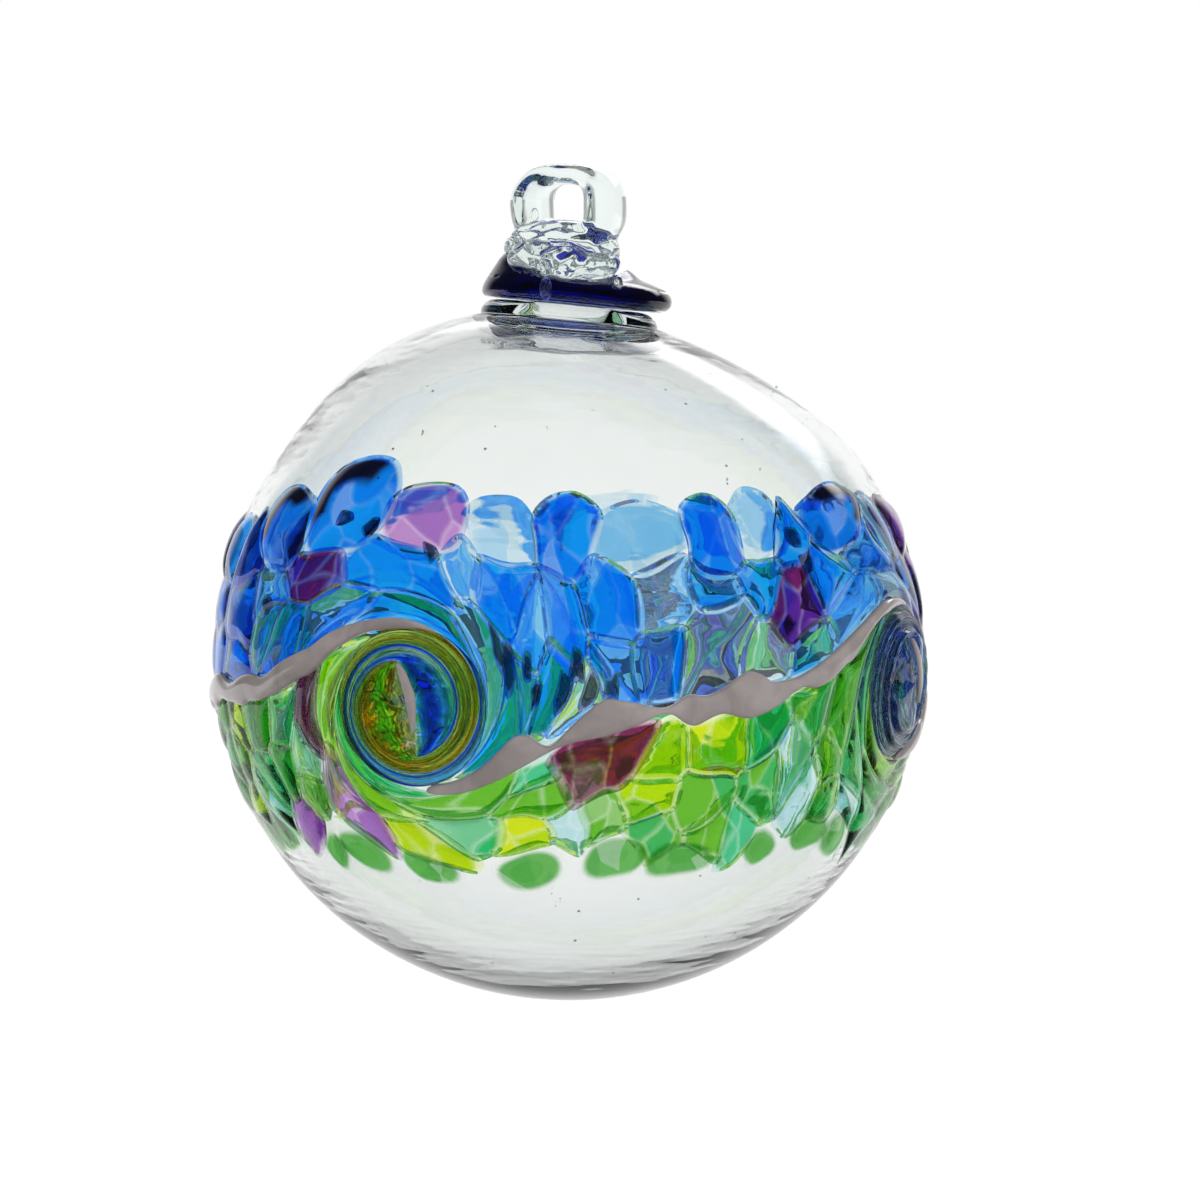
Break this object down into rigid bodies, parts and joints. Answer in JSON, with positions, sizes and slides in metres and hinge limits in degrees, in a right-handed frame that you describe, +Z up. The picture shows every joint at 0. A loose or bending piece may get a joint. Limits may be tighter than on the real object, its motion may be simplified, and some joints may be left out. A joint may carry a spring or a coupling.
{
  "type": "hanging art glass orb",
  "caption": "Hollow blown clear glass ball with a band of fused coloured chips and wound twirls, sealed by a cobalt collar and hung from a clear glass loop.",
  "frame": {"origin": "the top of the hole in the hanging loop, where a hook or ribbon bears", "axes": "+Z up along the orb's axis, +Y along the loop's hole"},
  "size_m": [0.1552, 0.1552, 0.176],
  "materials": {
    "clear_glass": "fire-polished, clear with a faint green-grey tint",
    "cobalt_glass": "fire-polished, cobalt so deep that it looks black",
    "taupe_glass": "fire-polished, opaque",
    "twirl_glass": "fire-polished, streaks of lime, amber, aqua and blue wound together",
    "sky_blue_glass": "fire-polished, see-through",
    "blue_glass": "fire-polished, see-through",
    "green_glass": "fire-polished, see-through",
    "lime_glass": "fire-polished, see-through"
  },
  "bodies": {
    "root": {"blue_chip_01": "blue_glass", "blue_chip_02": "blue_glass", "blue_chip_03": "blue_glass", "blue_chip_04": "blue_glass", "blue_chip_05": "blue_glass", "blue_chip_06": "blue_glass", "blue_chip_07": "blue_glass", "blue_chip_08": "blue_glass", "blue_chip_09": "blue_glass", "blue_chip_10": "blue_glass", "blue_chip_11": "blue_glass", "blue_chip_12": "blue_glass", "cobalt_seal": "cobalt_glass", "globe_shell": "clear_glass", "green_chip_01": "green_glass", "green_chip_02": "green_glass", "green_chip_03": "green_glass", "green_chip_04": "green_glass", "green_chip_05": "green_glass", "green_chip_06": "green_glass", "green_chip_07": "green_glass", "green_chip_08": "green_glass", "green_chip_09": "green_glass", "green_chip_10": "green_glass", "green_chip_11": "green_glass", "green_chip_12": "green_glass", "hanging_loop": "clear_glass", "lime_chip_01": "lime_glass", "lime_chip_02": "lime_glass", "lime_chip_03": "lime_glass", "lime_chip_04": "lime_glass", "lime_chip_05": "lime_glass", "lime_chip_06": "lime_glass", "lime_chip_07": "lime_glass", "lime_chip_08": "lime_glass", "lime_chip_09": "lime_glass", "lime_chip_10": "lime_glass", "lime_chip_11": "lime_glass", "lime_chip_12": "lime_glass", "sky_chip_01": "sky_blue_glass", "sky_chip_02": "sky_blue_glass", "sky_chip_03": "sky_blue_glass", "sky_chip_04": "sky_blue_glass", "sky_chip_05": "sky_blue_glass", "sky_chip_06": "sky_blue_glass", "sky_chip_07": "sky_blue_glass", "sky_chip_08": "sky_blue_glass", "sky_chip_09": "sky_blue_glass", "sky_chip_10": "sky_blue_glass", "sky_chip_11": "sky_blue_glass", "sky_chip_12": "sky_blue_glass", "sky_chip_13": "sky_blue_glass", "trail_strip_1": "taupe_glass", "trail_strip_2": "taupe_glass", "trail_strip_3": "taupe_glass", "trail_strip_4": "taupe_glass", "twirl_1": "twirl_glass", "twirl_2": "twirl_glass", "twirl_3": "twirl_glass", "twirl_4": "twirl_glass"}
  },
  "joints": []
}
